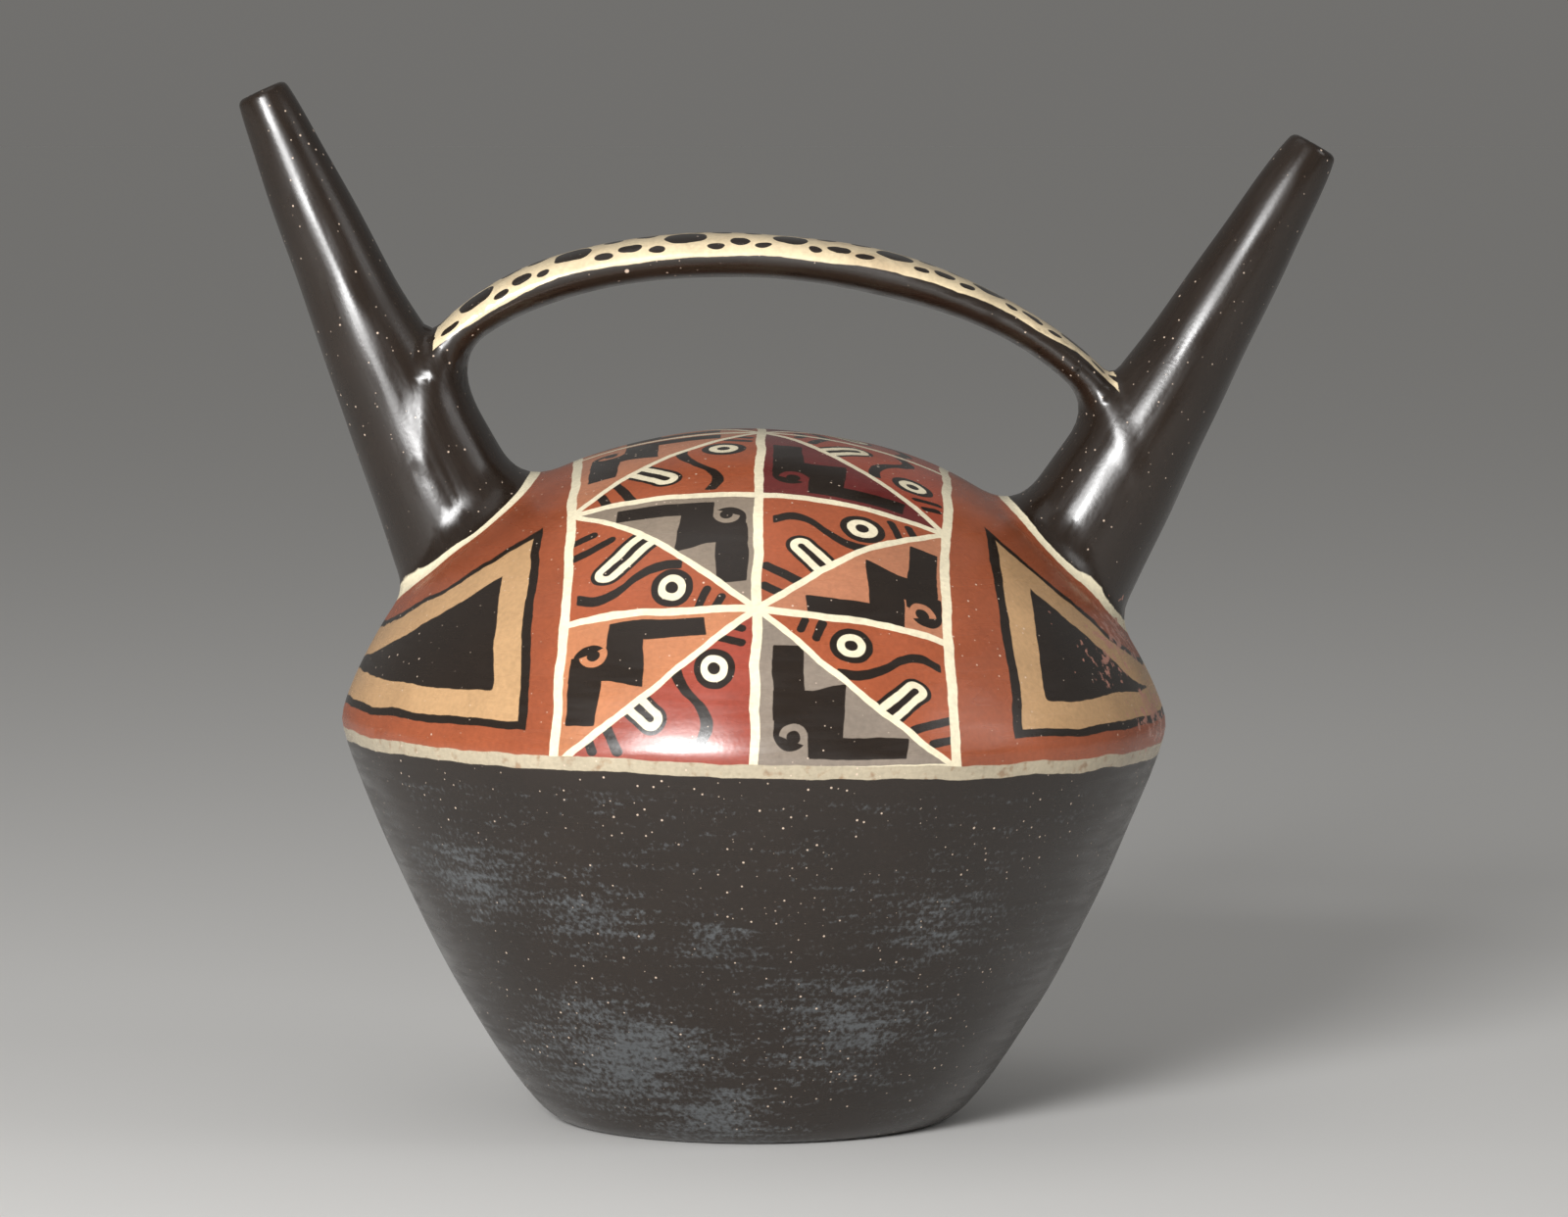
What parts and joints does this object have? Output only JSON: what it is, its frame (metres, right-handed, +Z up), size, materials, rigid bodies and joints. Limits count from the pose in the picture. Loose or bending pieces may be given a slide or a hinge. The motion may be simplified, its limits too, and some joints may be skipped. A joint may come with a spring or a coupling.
{
  "type": "double-spout bottle",
  "caption": "Hollow painted earthenware bottle: conical body, low dome, slender leaning spouts joined by a flat strap bridge.",
  "frame": {"origin": "centre of the flat underside, on the body's axis", "axes": "+Z up, +X towards the shorter spout on the right of the painted front, -Y out of the painted front"},
  "size_m": [0.2122, 0.16, 0.2016],
  "materials": {
    "slip_painted_clay": "burnished dark brown slip with red, tan, grey and cream painted panels on the dome"
  },
  "bodies": {
    "root": {"bottle": "slip_painted_clay"}
  },
  "joints": []
}
